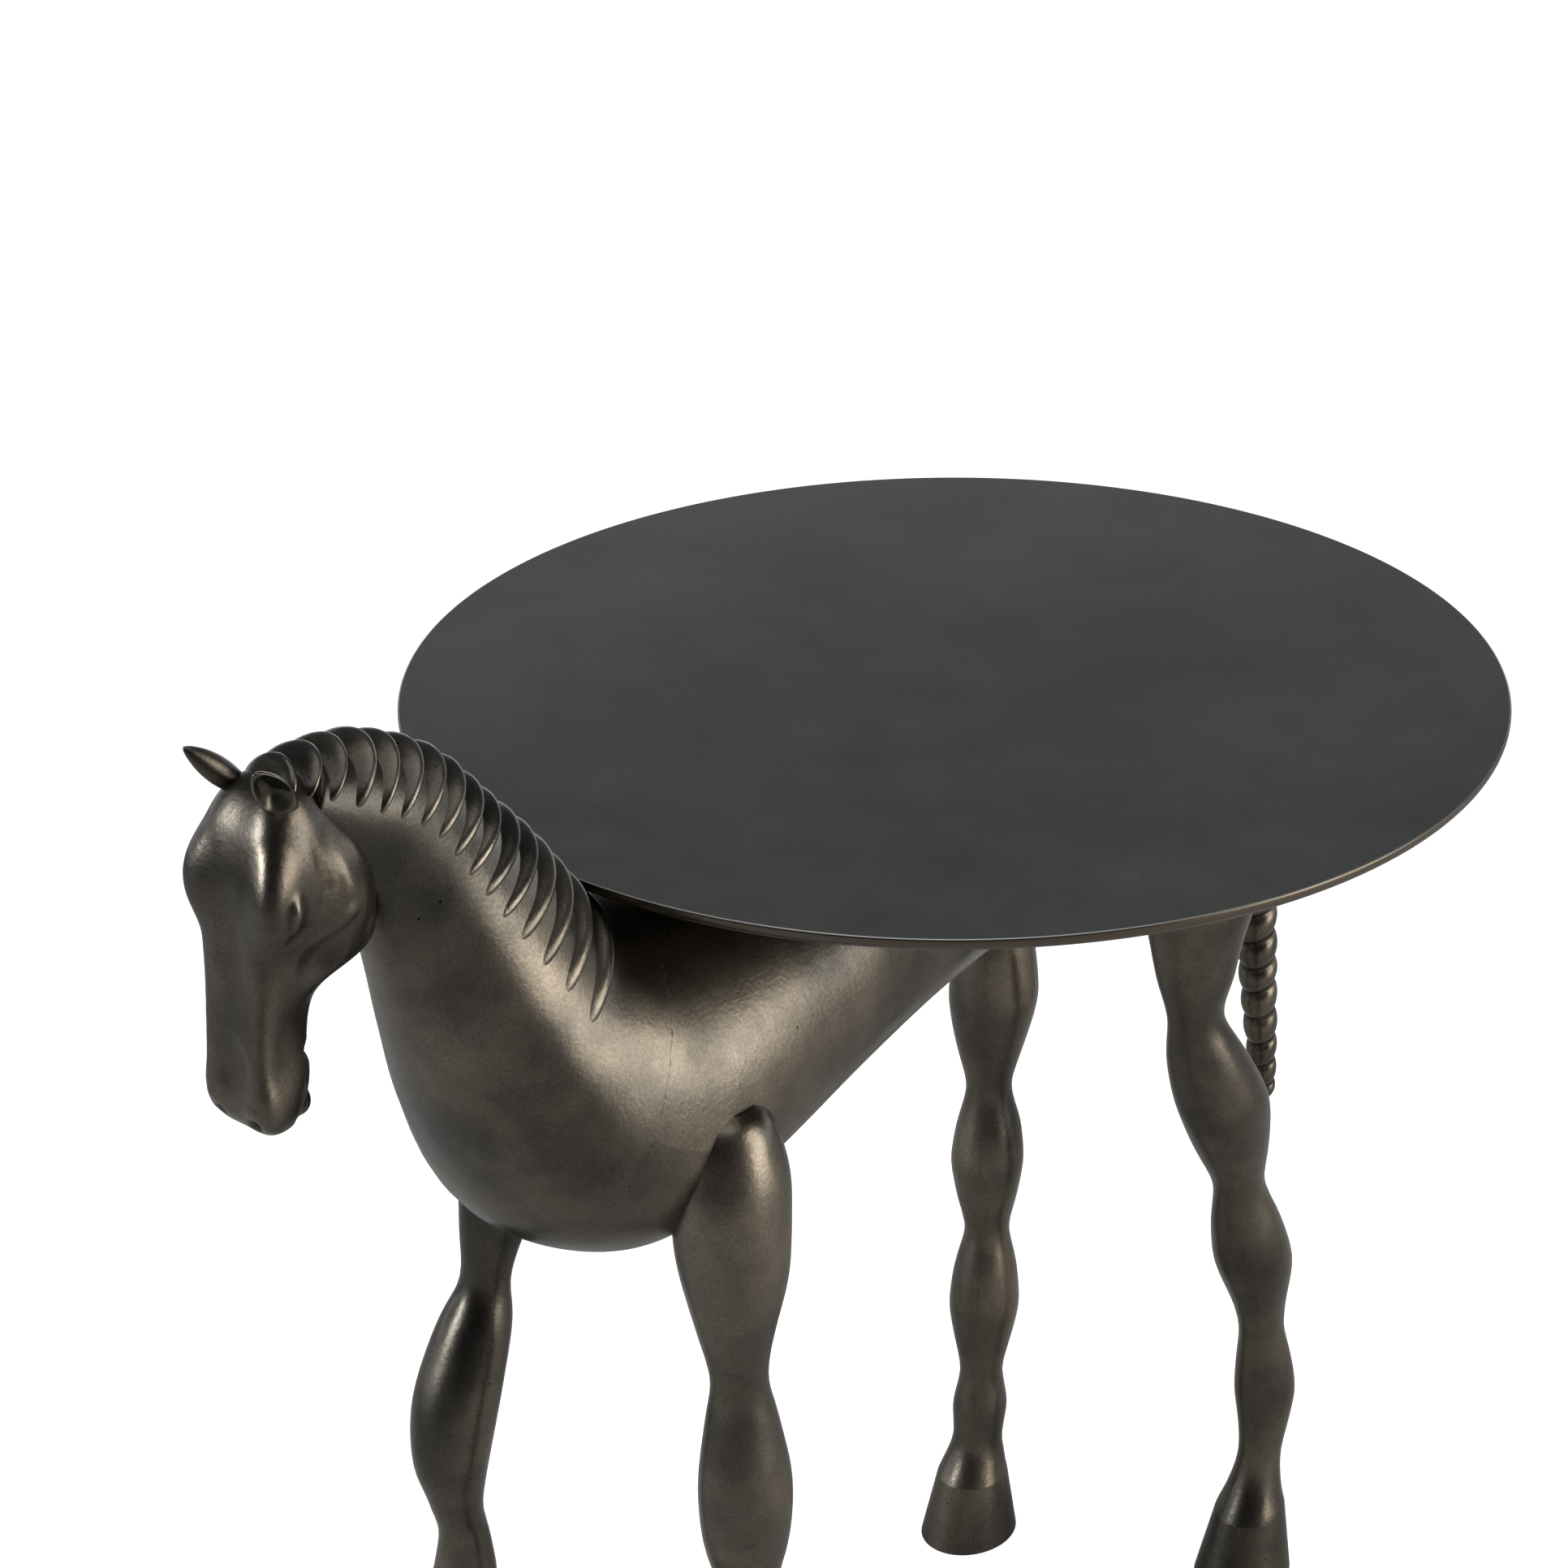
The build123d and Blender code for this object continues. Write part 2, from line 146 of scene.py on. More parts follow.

# %% [markdown]
# ## Worn edges, painted shade and painted highlights on the carved pieces
# Wax and dirt stay dark in the hollows of the mane, the face and the tail, and hands
# rub the raised edges bright.  The same darkening also paints shade into the hollows,
# and the same lightening paints highlights onto the raised edges.  A painted mask would
# have to follow every lock, so the curvature of the mesh itself darkens the hollows and
# lightens the edges.

# %% Carved bronze
def wear_shade_and_highlight(material, hollow, edge):
    tree = material.node_tree
    shader = tree.nodes["Principled BSDF"]
    plain = shader.inputs["Base Color"].links[0].from_socket
    curved = tree.nodes.new("ShaderNodeNewGeometry").outputs["Pointiness"]
    # Darker in hollows and lighter on raised edges: partly patina and rubbed wear, partly painted shade
    # and painted highlight.
    worn_shaded_and_lit = ramp(tree, curved, 0.455, 0.545, (hollow,) * 3, (edge,) * 3)
    tree.links.new(blend_colours(tree, "MULTIPLY", 1.0, plain, worn_shaded_and_lit), shader.inputs["Base Color"])


carved_bronze = make_bronze(
    "carved_bronze", dark=(0.056, 0.053, 0.047), warm=(0.225, 0.193, 0.153), cloud_scale=10.0,
    mottle_low=(0.66, 0.68, 0.72), rough_low=0.24, rough_high=0.38, grain_depth=0.0003, pit_amount=0.10)
wear_shade_and_highlight(carved_bronze, hollow=0.30, edge=1.30)
# The mane's bronze is darker all over, partly darker patina and partly painted shade on the
# forward-facing lock faces.
mane_patina_and_painted_light = make_bronze(
    "mane_patina_and_painted_light", dark=(0.022, 0.021, 0.019), warm=(0.080, 0.070, 0.056), cloud_scale=10.0,
    mottle_low=(0.60, 0.61, 0.63), rough_low=0.24, rough_high=0.36, grain_depth=0.0003, pit_amount=0.05)
# An edge factor of 4.4 paints bright highlights on the beads of the locks, well beyond rubbed wear.
wear_shade_and_highlight(mane_patina_and_painted_light, hollow=0.35, edge=4.4)
print("carved:", carved_bronze.name, mane_patina_and_painted_light.name)

# %% [markdown]
# ## The rim of the top
# Handling has rubbed the patina off the sharp upper edge, and its pale colour also paints
# the highlight that runs along the rim; the rounded side is as brown as the horse.
# Painting the edge would need a mask, so the direction of the surface picks the tint:
# level is charcoal, slanted is pale bare metal with a painted highlight, upright is brown.

# %% Tint by slope
def tint_by_slope(material, side, arris):
    tree = material.node_tree
    shader = tree.nodes["Principled BSDF"]
    level_colour = shader.inputs["Base Color"].links[0].from_socket
    facing = tree.nodes.new("ShaderNodeSeparateXYZ")
    tree.links.new(tree.nodes.new("ShaderNodeNewGeometry").outputs["True Normal"], facing.inputs[0])
    # Slanted faces get the arris colour: rubbed bare metal and a painted highlight.
    edge_colour = ramp(tree, facing.outputs["Z"], 0.50, 0.62, side, arris)
    level = ramp(tree, facing.outputs["Z"], 0.90, 0.97, (0, 0, 0), (1, 1, 1))
    tinted = blend_colours(tree, "MIX", level, edge_colour, level_colour)
    tree.links.new(tinted, shader.inputs["Base Color"])


# The pale arris colour is rubbed bare metal and a painted highlight along the rim.
tint_by_slope(top_bronze, side=(0.10, 0.085, 0.067), arris=(0.40, 0.40, 0.40))
print("rim tinted on:", top_bronze.name)


# %% [markdown]
# ## Screws, pins and pads
# The fixings under the top and in the legs are plain brushed steel, and a felt disc
# under each hoof spares the floor.  Stretched noise gives the steel its brush marks;
# fine noise and a soft sheen make the felt.

# %% Steel and felt
def make_steel():
    material = bpy.data.materials.new("brushed_steel")
    material.use_nodes = True
    tree = material.node_tree
    shader = tree.nodes["Principled BSDF"]
    shader.inputs["Metallic"].default_value = 1.0
    stretch = add_node(tree, "ShaderNodeMapping", Scale=(40.0, 40.0, 900.0))
    tree.links.new(tree.nodes.new("ShaderNodeTexCoord").outputs["Object"], stretch.inputs["Vector"])
    marks = noise(tree, stretch.outputs[0], 1.0, 4.0)
    colour = ramp(tree, marks, 0.3, 0.7, (0.32, 0.32, 0.33), (0.52, 0.52, 0.52))
    tree.links.new(colour, shader.inputs["Base Color"])
    rough = add_node(tree, "ShaderNodeMapRange")
    tree.links.new(marks, rough.inputs["Value"])
    rough.inputs["To Min"].default_value = 0.28
    rough.inputs["To Max"].default_value = 0.45
    tree.links.new(rough.outputs["Result"], shader.inputs["Roughness"])
    return material


def make_felt():
    material = bpy.data.materials.new("felt")
    material.use_nodes = True
    tree = material.node_tree
    shader = tree.nodes["Principled BSDF"]
    shader.inputs["Roughness"].default_value = 0.95
    shader.inputs["Sheen Weight"].default_value = 0.4
    where = tree.nodes.new("ShaderNodeTexCoord").outputs["Object"]
    fibres = noise(tree, where, 700.0, 6.0, 0.8)
    colour = ramp(tree, fibres, 0.3, 0.7, (0.012, 0.012, 0.013), (0.05, 0.048, 0.045))
    tree.links.new(colour, shader.inputs["Base Color"])
    bump = add_node(tree, "ShaderNodeBump", Strength=0.6, Distance=0.0006)
    tree.links.new(fibres, bump.inputs["Height"])
    tree.links.new(bump.outputs["Normal"], shader.inputs["Normal"])
    return material


steel, felt = make_steel(), make_felt()
print("other finishes:", steel.name, felt.name)


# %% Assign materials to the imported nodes
def finish_with(piece, material):
    piece.data.materials.clear()
    piece.data.materials.append(material)


FINISHES = {
    "tabletop": top_bronze, "backing_ring": top_bronze, "mount_plate": top_bronze,
    "top_screws": steel, "top_washers": steel, "leg_pins": steel, "foot_pads": felt,
}
for name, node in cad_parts.items():
    finish_with(node, FINISHES.get(name, horse_bronze))
print("finished nodes:", len(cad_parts))

# %% [markdown]
# ## A tube rolled from a grid
# The mane locks, the tail and the blocked-out head are all closed forms that run
# along a line.  A grid is rolled round that line: each row of the grid becomes one
# ring.  The seam and the pinched ends are merged, so the skin is closed.

# %% Roll a grid into a closed form
MM = 0.001


def roll_grid(name, rings):
    """A closed smooth mesh through the rings, each a list of points round the form."""
    around = len(rings[0])
    bpy.ops.object.select_all(action="DESELECT")
    bpy.ops.mesh.primitive_grid_add(x_subdivisions=around, y_subdivisions=len(rings) - 1, size=1)
    piece = bpy.context.active_object
    piece.name = name
    columns = around + 1
    for index, vertex in enumerate(piece.data.vertices):
        vertex.co = rings[index // columns][index % columns % around]
    bpy.ops.object.mode_set(mode="EDIT")
    bpy.ops.mesh.select_all(action="SELECT")
    bpy.ops.mesh.remove_doubles(threshold=0.00001)
    bpy.ops.mesh.normals_make_consistent(inside=False)
    bpy.ops.object.mode_set(mode="OBJECT")
    bpy.ops.object.shade_smooth()
    return piece


def curve_through(p, q, r, s, t):
    """The point a share t of the way from q to r, on a smooth curve through all four."""
    return q + 0.5 * t * (r - p + t * (2 * p - 5 * q + 4 * r - s + t * (3 * (q - r) + s - p)))


def smooth_between(values, position):
    """The value at a position in a list, on a smooth curve through all of them."""
    index = min(int(position), len(values) - 2)
    before, near = values[max(index - 1, 0)], values[index]
    far, after = values[index + 1], values[min(index + 2, len(values) - 1)]
    return [curve_through(*four, position - index) for four in zip(before, near, far, after)]


# %% [markdown]
# ## The round top
# The top is a turned disc with a crisp upper edge and a rounded underside.  A disc
# from a drawing shows its facets on so long a rim, so it is turned again here with
# many sides: a cylinder, a small bevel above and a round one below.

# %% Round top
RIM_SIDES = 360
UPPER_EDGE, LOWER_ROUND = 0.8 * MM, 5.0 * MM
FACET_ANGLE = math.radians(20)      # edges flatter than this are shaded smooth


def select_rim(disc, height):
    """Select the edges of the rim at a height, in edit mode."""
    bpy.ops.mesh.select_all(action="DESELECT")
    bpy.ops.object.mode_set(mode="OBJECT")
    for edge in disc.data.edges:
        ends = [disc.data.vertices[index].co.z for index in edge.vertices]
        edge.select = all(abs(end - height) < 0.01 * MM for end in ends)
    bpy.ops.object.mode_set(mode="EDIT")


disc_low, disc_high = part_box("tabletop")
disc_middle = [(low + high) / 2 for low, high in zip(disc_low, disc_high)]
bpy.ops.object.select_all(action="DESELECT")
bpy.ops.mesh.primitive_cylinder_add(vertices=RIM_SIDES, radius=(disc_high[1] - disc_low[1]) / 2,
                                    depth=disc_high[2] - disc_low[2], location=disc_middle)
disc = bpy.context.active_object
disc.name = "tabletop_turned"
bpy.ops.object.transform_apply(location=True, rotation=True, scale=True)
bpy.ops.object.mode_set(mode="EDIT")
bpy.ops.mesh.select_mode(type="EDGE")
select_rim(disc, disc_low[2])
bpy.ops.mesh.bevel(offset=LOWER_ROUND, segments=8)
select_rim(disc, disc_high[2])
bpy.ops.mesh.bevel(offset=UPPER_EDGE, segments=2)
bpy.ops.mesh.select_mode(type="VERT")
bpy.ops.object.mode_set(mode="OBJECT")
bpy.ops.object.shade_smooth_by_angle(angle=FACET_ANGLE)
finish_with(disc, top_bronze)
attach(disc, "root")
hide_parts("tabletop")
print("top:", [round(side / MM, 1) for side in disc.dimensions], "mm")

# %% [markdown]
# ## The mane
# The mane is a row of cast locks that straddle the crest like roof tiles.  Each
# rises in a hollow from under the lock in front to a rounded bright edge, and runs
# out to a point on the side of the neck.  A sweep would give plain hoops, so every
# lock is a short stack of neck sections, each lifted off the neck by the profile.

# %% Sections of the neck
# Crest (y, z), throat (y, z), half width, widest fraction of the way down, in mm.
NECK = [
    (-127, 538, -171, 380, 75, 0.58),
    (-143, 539, -218, 409, 69, 0.58),
    (-160, 546, -241, 455, 58, 0.58),
    (-176, 567, -256, 501, 46.5, 0.56),
    (-191, 588, -266, 540, 38, 0.55),
    (-212, 612, -275, 572, 31, 0.53),
    (-239, 641, -287, 598, 26, 0.50),
    (-273, 659, -306, 612, 23, 0.50),
    (-300, 663, -322, 630, 18, 0.50),
    (-316, 662, -323, 634, 15, 0.50),
    (-329, 657, -328, 632, 11, 0.50),
]


def crest_steps(stations):
    """Distance along the crest at each station."""
    steps = [0.0]
    for a, b in zip(stations, stations[1:]):
        steps.append(steps[-1] + math.dist(a[:2], b[:2]))
    return steps


CREST = crest_steps(NECK)
print("crest length, mm:", round(CREST[-1]))


def neck_section(distance):
    """The section at a distance along the crest from the withers."""
    index = max(i for i in range(len(CREST) - 1) if CREST[i] <= max(distance, 0.0))
    share = (distance - CREST[index]) / (CREST[index + 1] - CREST[index])
    return smooth_between(NECK, index + min(max(share, 0.0), 1.0))


def neck_point(section, angle, lift):
    """A point round a neck section; 90 degrees is the crest, lift is outwards in mm."""
    y1, z1, y2, z2, half_width, widest = section
    depth = math.dist((y1, z1), (y2, z2))
    up = Vector((0, (y1 - y2) / depth, (z1 - z2) / depth))
    centre = Vector((0, y1 + (y2 - y1) * widest, z1 + (z2 - z1) * widest))
    rise = depth * (widest if math.sin(angle) > 0 else 1 - widest)
    across, along = half_width * math.cos(angle), rise * math.sin(angle)
    normal = Vector((math.cos(angle) / half_width, math.sin(angle) / rise)).normalized()
    across += lift * normal.x
    along += lift * normal.y
    return (Vector((across, 0, 0)) + centre + up * along) * MM


# %% The neck casting, drawn in below the mane
CREST_DROP = 3.6            # the crest lies this far lower, so that the locks stand out, mm
NECK_BLEND = 26.0           # distance over which the crest drops away from the body, mm
AROUND, NECK_RINGS = 120, 60
# Rings tucked into the torso at the joint: (how far ahead of the joint, lift), in mm.
JOINT_TUCK = [(0.0, -3.0), (-0.4, -0.05)]


def circle_angles(count):
    return [-math.pi / 2 + 2 * math.pi * step / count for step in range(count)]


def close_ends(rings):
    """The rings with a point at each end."""
    first = [sum(rings[0], Vector()) / len(rings[0])] * len(rings[0])
    last = [sum(rings[-1], Vector()) / len(rings[-1])] * len(rings[-1])
    return [first, *rings, last]


def crest_drop(distance, angle):
    share = min(max((distance - CREST[1]) / NECK_BLEND, 0.0), 1.0)
    return -CREST_DROP * share * share * (3 - 2 * share) * max(0.0, math.sin(angle)) ** 2


def neck_ring(distance, lift_at):
    """A ring round the neck, lifted by what lift_at gives for each angle."""
    section = neck_section(distance)
    return [neck_point(section, angle, lift_at(angle)) for angle in circle_angles(AROUND)]


def make_neck():
    rings = [neck_ring(CREST[1] + ahead, lambda angle: lift) for ahead, lift in JOINT_TUCK]
    for step in range(NECK_RINGS + 1):
        distance = CREST[1] + (CREST[-3] - CREST[1]) * step / NECK_RINGS
        rings.append(neck_ring(distance, lambda angle: crest_drop(distance, angle)))
    return roll_grid("neck_carved", close_ends(rings))


def hand_over(piece, node, finish=carved_bronze):
    """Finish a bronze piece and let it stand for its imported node."""
    finish_with(piece, finish)
    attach(piece, "root")
    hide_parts(node)


neck = make_neck()
hand_over(neck, "neck", horse_bronze)
print("neck:", [round(side / MM) for side in neck.dimensions], "mm")

# %% Sixteen locks
LOCK_COUNT = 16
FIRST_LOCK, LAST_LOCK = CREST[-1] - 17, CREST[1] + 24    # along the crest, from the withers
LOCK_PITCH = (FIRST_LOCK - LAST_LOCK) / (LOCK_COUNT - 1)
# Profile of a lock, front to rear: (how far ahead of its edge in pitches, lift in mm).
LOCK_PROFILE = [
    (1.10, -9.0), (1.06, -5.0), (0.95, -4.3), (0.75, -3.9), (0.52, -2.9), (0.34, -1.1), (0.22, 0.9),
    (0.13, 2.2), (0.04, 2.9), (-0.05, 2.7), (-0.12, 1.6), (-0.15, -0.4), (-0.14, -3.0), (-0.10, -9.0),
]
LOCK_SINK = 7.0             # how deep a lock dives where it runs out on the neck's side, mm
LOCK_SLANT = 8.0            # how far the tips run ahead towards the head, mm
# Powers that shape a lock down its side: how late its lift fades, how late it dives
# into the neck and how gradually it sweeps ahead.
LOCK_FADE, LOCK_DIVE, LOCK_SWEEP = 3.2, 2.2, 1.6
# Where the tips end, in degrees above the widest line, from the poll to the withers.
LOCK_TIPS = [(-4,), (-14,), (-18,), (-15,), (-4,)]


def lock_ring(distance, lift, tip_angle):
    reach = math.pi / 2 - tip_angle
    points = []
    for angle in circle_angles(AROUND):
        down = abs(math.remainder(angle - math.pi / 2, 2 * math.pi)) / reach
        share = max(0.0, 1 - down ** LOCK_FADE)
        section = neck_section(distance + LOCK_SLANT * min(down, 1.0) ** LOCK_SWEEP)
        points.append(neck_point(section, angle, lift * share - LOCK_SINK * (1 - share) ** LOCK_DIVE))
    return points


def make_lock(number):
    share = number / (LOCK_COUNT - 1)
    edge = FIRST_LOCK - LOCK_PITCH * number
    tip_angle = math.radians(smooth_between(LOCK_TIPS, share * (len(LOCK_TIPS) - 1))[0])
    rings = [lock_ring(edge + ahead * LOCK_PITCH, lift, tip_angle) for ahead, lift in LOCK_PROFILE]
    return roll_grid(f"mane_lock_{number + 1:02d}_carved", close_ends(rings))


for number in range(LOCK_COUNT):
    hand_over(make_lock(number), f"mane_lock_{number + 1:02d}", mane_patina_and_painted_light)
print("mane locks:", LOCK_COUNT, "pitch, mm:", round(LOCK_PITCH, 1))

# %% [markdown]
# ## The tail
# The tail hangs from the rump like a rope of stacked rings.  It is one casting, so
# it is one tube whose rings swell and pinch; every swell leans a little, which
# keeps it from looking turned on a lathe.

# %% Tail
TAIL_LINE = [(271, 494), (297, 486), (317, 450), (325, 400), (334, 310), (344.5, 226)]
TAIL_RINGS, TAIL_STEPS, TAIL_AROUND = 29, 8, 48
TAIL_THICK, TAIL_GROOVE = 12.2, 0.70
TAIL_SLANT = 0.35           # how much every ring leans, as the strands of a rope do
TAIL_SWELL = 0.55           # power that makes each ring full, with a narrow groove
TAIL_TAPER, TAIL_TAPER_POWER = 0.55, 6      # share of the girth lost, and how late
TAIL_SWAY, TAIL_SWAY_TURN = 0.10, 2.4       # side lean, and its turn from ring to ring
TAIL_DEPTH = 1.02           # depth of a ring over its width
TAIL_PROBE = 0.01           # share of the tail used to find its direction


def make_tail():
    rings = []
    total = TAIL_RINGS * TAIL_STEPS
    for step in range(total + 1):
        t = step / total
        y, z = smooth_between(TAIL_LINE, t * (len(TAIL_LINE) - 1))
        y2, z2 = smooth_between(TAIL_LINE, min(t + TAIL_PROBE, 1.0) * (len(TAIL_LINE) - 1))
        y1, z1 = smooth_between(TAIL_LINE, max(t - TAIL_PROBE, 0.0) * (len(TAIL_LINE) - 1))
        along = Vector((0, y2 - y1, z2 - z1)).normalized()
        swell = abs(math.sin(math.pi * step / TAIL_STEPS)) ** TAIL_SWELL
        fullness = TAIL_GROOVE + (1 - TAIL_GROOVE) * swell
        girth = TAIL_THICK * fullness * (1 - TAIL_TAPER * t ** TAIL_TAPER_POWER)
        lean = TAIL_SWAY * math.sin(TAIL_SWAY_TURN * step / TAIL_STEPS)
        side = Vector((1, 0, lean)).normalized()
        deep = along.cross(side).normalized() + along * TAIL_SLANT
        centre = Vector((0, y, z))
        ring = []
        for turn in range(TAIL_AROUND):
            angle = 2 * math.pi * turn / TAIL_AROUND
            offset = side * math.cos(angle) * girth + deep * math.sin(angle) * girth * TAIL_DEPTH
            ring.append((centre + offset) * MM)
        rings.append(ring)
    return roll_grid("tail_carved", close_ends(rings))


tail = make_tail()
hand_over(tail, "tail")
print("tail faces:", len(tail.data.polygons))

# %% [markdown]
# ## The head
# The head hangs straight down: a flat nose, wide brows, big cheek plates that
# overlap the neck, a narrow muzzle.  It is blocked out as one rolled form, the chin is
# added as a squashed ball and a voxel remesh fuses the two.  Then small pushes raise
# the brows and cheeks and sink the hollows.  Sculpting by hand would not repeat; the
# pushes do.

# %% Block out the head
# Face (y, z), jaw (y, z), then half widths at the face, its corner, the side, the
# rear side and the jaw, in mm, from the poll down.
HEAD = [
    (-314, 659, -300, 656, 4, 8, 9, 8, 4),
    (-327, 656, -297, 647, 9, 15, 17, 14, 7),
    (-336, 645, -285, 635, 14, 21, 23, 18, 9),
    (-341, 630, -277, 617, 17, 25, 26, 22, 12),
    (-344, 611, -276, 594, 17, 24.5, 25.5, 23.5, 13),
    (-345, 592, -280, 576, 15.5, 20.5, 21, 20.5, 12),
    (-346, 575, -303, 568, 14.5, 18.5, 18, 16, 9),
    (-347.5, 559, -311, 560, 14, 17.5, 16, 13, 8),
    (-349, 543, -314.5, 545, 13.5, 17.5, 16, 13, 8),
    (-350, 530, -315, 531, 13.5, 19, 18.5, 15, 9),
    (-348.5, 520, -318, 520, 12.5, 18, 18, 14.5, 8.5),
    (-343, 513, -321, 512, 9, 13, 13.5, 11, 5.5),
    (-336, 511, -326, 510, 4, 6, 6.5, 6, 3),
]
HEAD_DEPTHS = [0.0, 0.10, 0.36, 0.68, 0.94]     # where those half widths lie, face to jaw
HEAD_STEPS = 5              # rings between two sections, and points between two corners


def head_ring(row):
    face, jaw, widths = Vector((0, *row[:2])), Vector((0, *row[2:4])), row[4:]
    left = [face + (jaw - face) * s + Vector((w, 0, 0)) for s, w in zip(HEAD_DEPTHS, widths)]
    right_side = [Vector((-p.x, p.y, p.z)) for p in reversed(left)]
    cage = [face, *left, jaw, *right_side]
    points = []
    for step in range(len(cage) * HEAD_STEPS):
        position = step / HEAD_STEPS
        index = int(position)
        four = [cage[(index + k) % len(cage)] for k in (-1, 0, 1, 2)]
        points.append(curve_through(*four, position - index) * MM)
    return points


def block_out_head():
    rings = []
    for step in range((len(HEAD) - 1) * HEAD_STEPS + 1):
        rings.append(head_ring(smooth_between(HEAD, step / HEAD_STEPS)))
    return roll_grid("head_carved", close_ends(rings))


head = block_out_head()
print("head blocked out:", len(head.data.vertices), "points")


# %% Add the chin as a squashed ball, then fuse
FUSE_VOXEL, FUSE_PASSES = 0.0011, 6     # grid of the remesh in metres, smoothing after it


def squashed_ball(centre, size):
    bpy.ops.object.select_all(action="DESELECT")
    place = [c * MM for c in centre]
    bpy.ops.mesh.primitive_uv_sphere_add(segments=48, ring_count=24, radius=MM, location=place)
    ball = bpy.context.active_object
    bpy.ops.object.mode_set(mode="EDIT")
    bpy.ops.mesh.select_all(action="SELECT")
    bpy.ops.transform.resize(value=size, center_override=place)
    bpy.ops.object.mode_set(mode="OBJECT")
    return ball


def fuse(target, extra):
    """Join a form to the target and remesh the two into one smooth skin."""
    bpy.ops.object.select_all(action="DESELECT")
    extra.select_set(True)
    target.select_set(True)
    bpy.context.view_layer.objects.active = target
    bpy.ops.object.join()
    bpy.ops.object.transform_apply(location=True, rotation=True, scale=True)
    remesh = target.modifiers.new("fuse", "REMESH")
    remesh.mode = "VOXEL"
    remesh.voxel_size = FUSE_VOXEL
    remesh.use_smooth_shade = True
    bpy.ops.object.modifier_apply(modifier=remesh.name)
    soften = target.modifiers.new("soften", "SMOOTH")
    soften.iterations = FUSE_PASSES
    soften.factor = 0.5
    bpy.ops.object.modifier_apply(modifier=soften.name)


fuse(head, squashed_ball((0, -321, 517), (10, 7, 8)))
print("head fused:", len(head.data.polygons), "faces")


# %% Carve the head with small pushes
def push(piece, centre, reach, by, both_sides=True):
    """Move the skin near a point by a vector, fading smoothly to nothing at the reach."""
    for side in (1, -1) if both_sides else (1,):
        middle = Vector((side * centre[0], centre[1], centre[2])) * MM
        shift = Vector((side * by[0], by[1], by[2])) * MM
        for vertex in piece.data.vertices:
            offset = vertex.co - middle
            far = math.sqrt(sum((o / (r * MM)) ** 2 for o, r in zip(offset, reach)))
            if far < 1:
                vertex.co += shift * (1 - far * far) ** 2


def groove(piece, start, end, width, by, count=9):
    """A row of pushes along a line."""
    for step in range(count):
        t = step / (count - 1)
        centre = [a + (b - a) * t for a, b in zip(start, end)]
        push(piece, centre, (width,) * 3, by)


push(head, (23, -338, 617), (17, 17, 27), (2.6, -4.6, 0))                  # brow
push(head, (26, -296, 612), (16, 25, 36), (3.4, 0.6, 0))                   # round of the cheek
groove(head, (27, -281, 630), (26, -278, 608), 8, (0.6, 0.5, 0))           # rear edge of the cheek
groove(head, (26, -278, 608), (22, -290, 584), 8, (0.6, 0.5, -0.2))
groove(head, (29, -321, 650), (31, -316, 618), 6.5, (-1.25, 0.25, 0))      # temple hollow
groove(head, (31, -316, 618), (30, -323, 603), 6.0, (-0.8, 0, 0))          # and its foot
groove(head, (30, -322, 604), (26, -334, 600), 5.0, (-0.6, 0.35, 0))       # hook under the eye
push(head, (25, -332, 613), (8, 6, 11), (3.2, -1.6, 0))                    # closed eye
groove(head, (29, -308, 644), (31, -305, 612), 7, (0.6, 0, 0))             # ridge from the ear
groove(head, (30, -294, 634), (31, -293, 616), 6.5, (-0.55, 0, 0))         # dip behind the ridge
groove(head, (31, -303, 604), (27, -322, 593), 7, (0.6, 0, 0))             # ridge below the eye
push(head, (22, -318, 584), (10, 14, 14), (-2.4, 0, 0))                    # hollow below the cheek
push(head, (0, -352, 541), (13, 13, 21), (0, 2.8, 0), both_sides=False)    # hollow of the nose
push(head, (0, -346, 598), (12, 9, 36), (0, 1.4, 0), both_sides=False)     # flat of the face
push(head, (10.5, -349, 519), (4.6, 6.5, 4.8), (-0.4, 2.8, 0.5))           # nostril
push(head, (11, -347, 526), (7, 6, 5), (0.8, -1.0, 0))                     # wing of the nostril
groove(head, (9, -329, 505), (17, -324, 531), 3.6, (-1.7, 0.2, 0.25), 13)  # mouth
push(head, (13, -315, 540), (11, 7.5, 6), (-2.6, -2.2, 0))                 # chin groove
push(head, (0, -314, 540), (10, 6, 5.5), (0, -1.8, 0), both_sides=False)
hand_over(head, "head")
print("head carved:", [round(v, 3) for v in head.dimensions])

# %% [markdown]
# ## The ears
# Each ear is a small cupped leaf, rooted behind the brow.  A ball would stay a ball,
# so the leaf is rolled from rings that are round at the back and hollow in front,
# which leaves a thick rim all the way round the cup.

# %% Ears
# How far along (0 root, 1 tip), half width, half depth and how hollow the front is.
EAR_RINGS = [
    (0.00, 4.6, 4.4, 0.0), (0.12, 5.4, 5.0, 0.0), (0.24, 6.3, 5.4, 0.45),
    (0.38, 6.9, 5.6, 0.95), (0.54, 6.7, 5.4, 1.0), (0.70, 5.7, 4.6, 1.0),
    (0.84, 4.0, 3.4, 0.85), (0.93, 2.5, 2.3, 0.3), (1.00, 0.8, 0.8, 0.0),
]
EAR_STEPS, EAR_AROUND = 4, 64


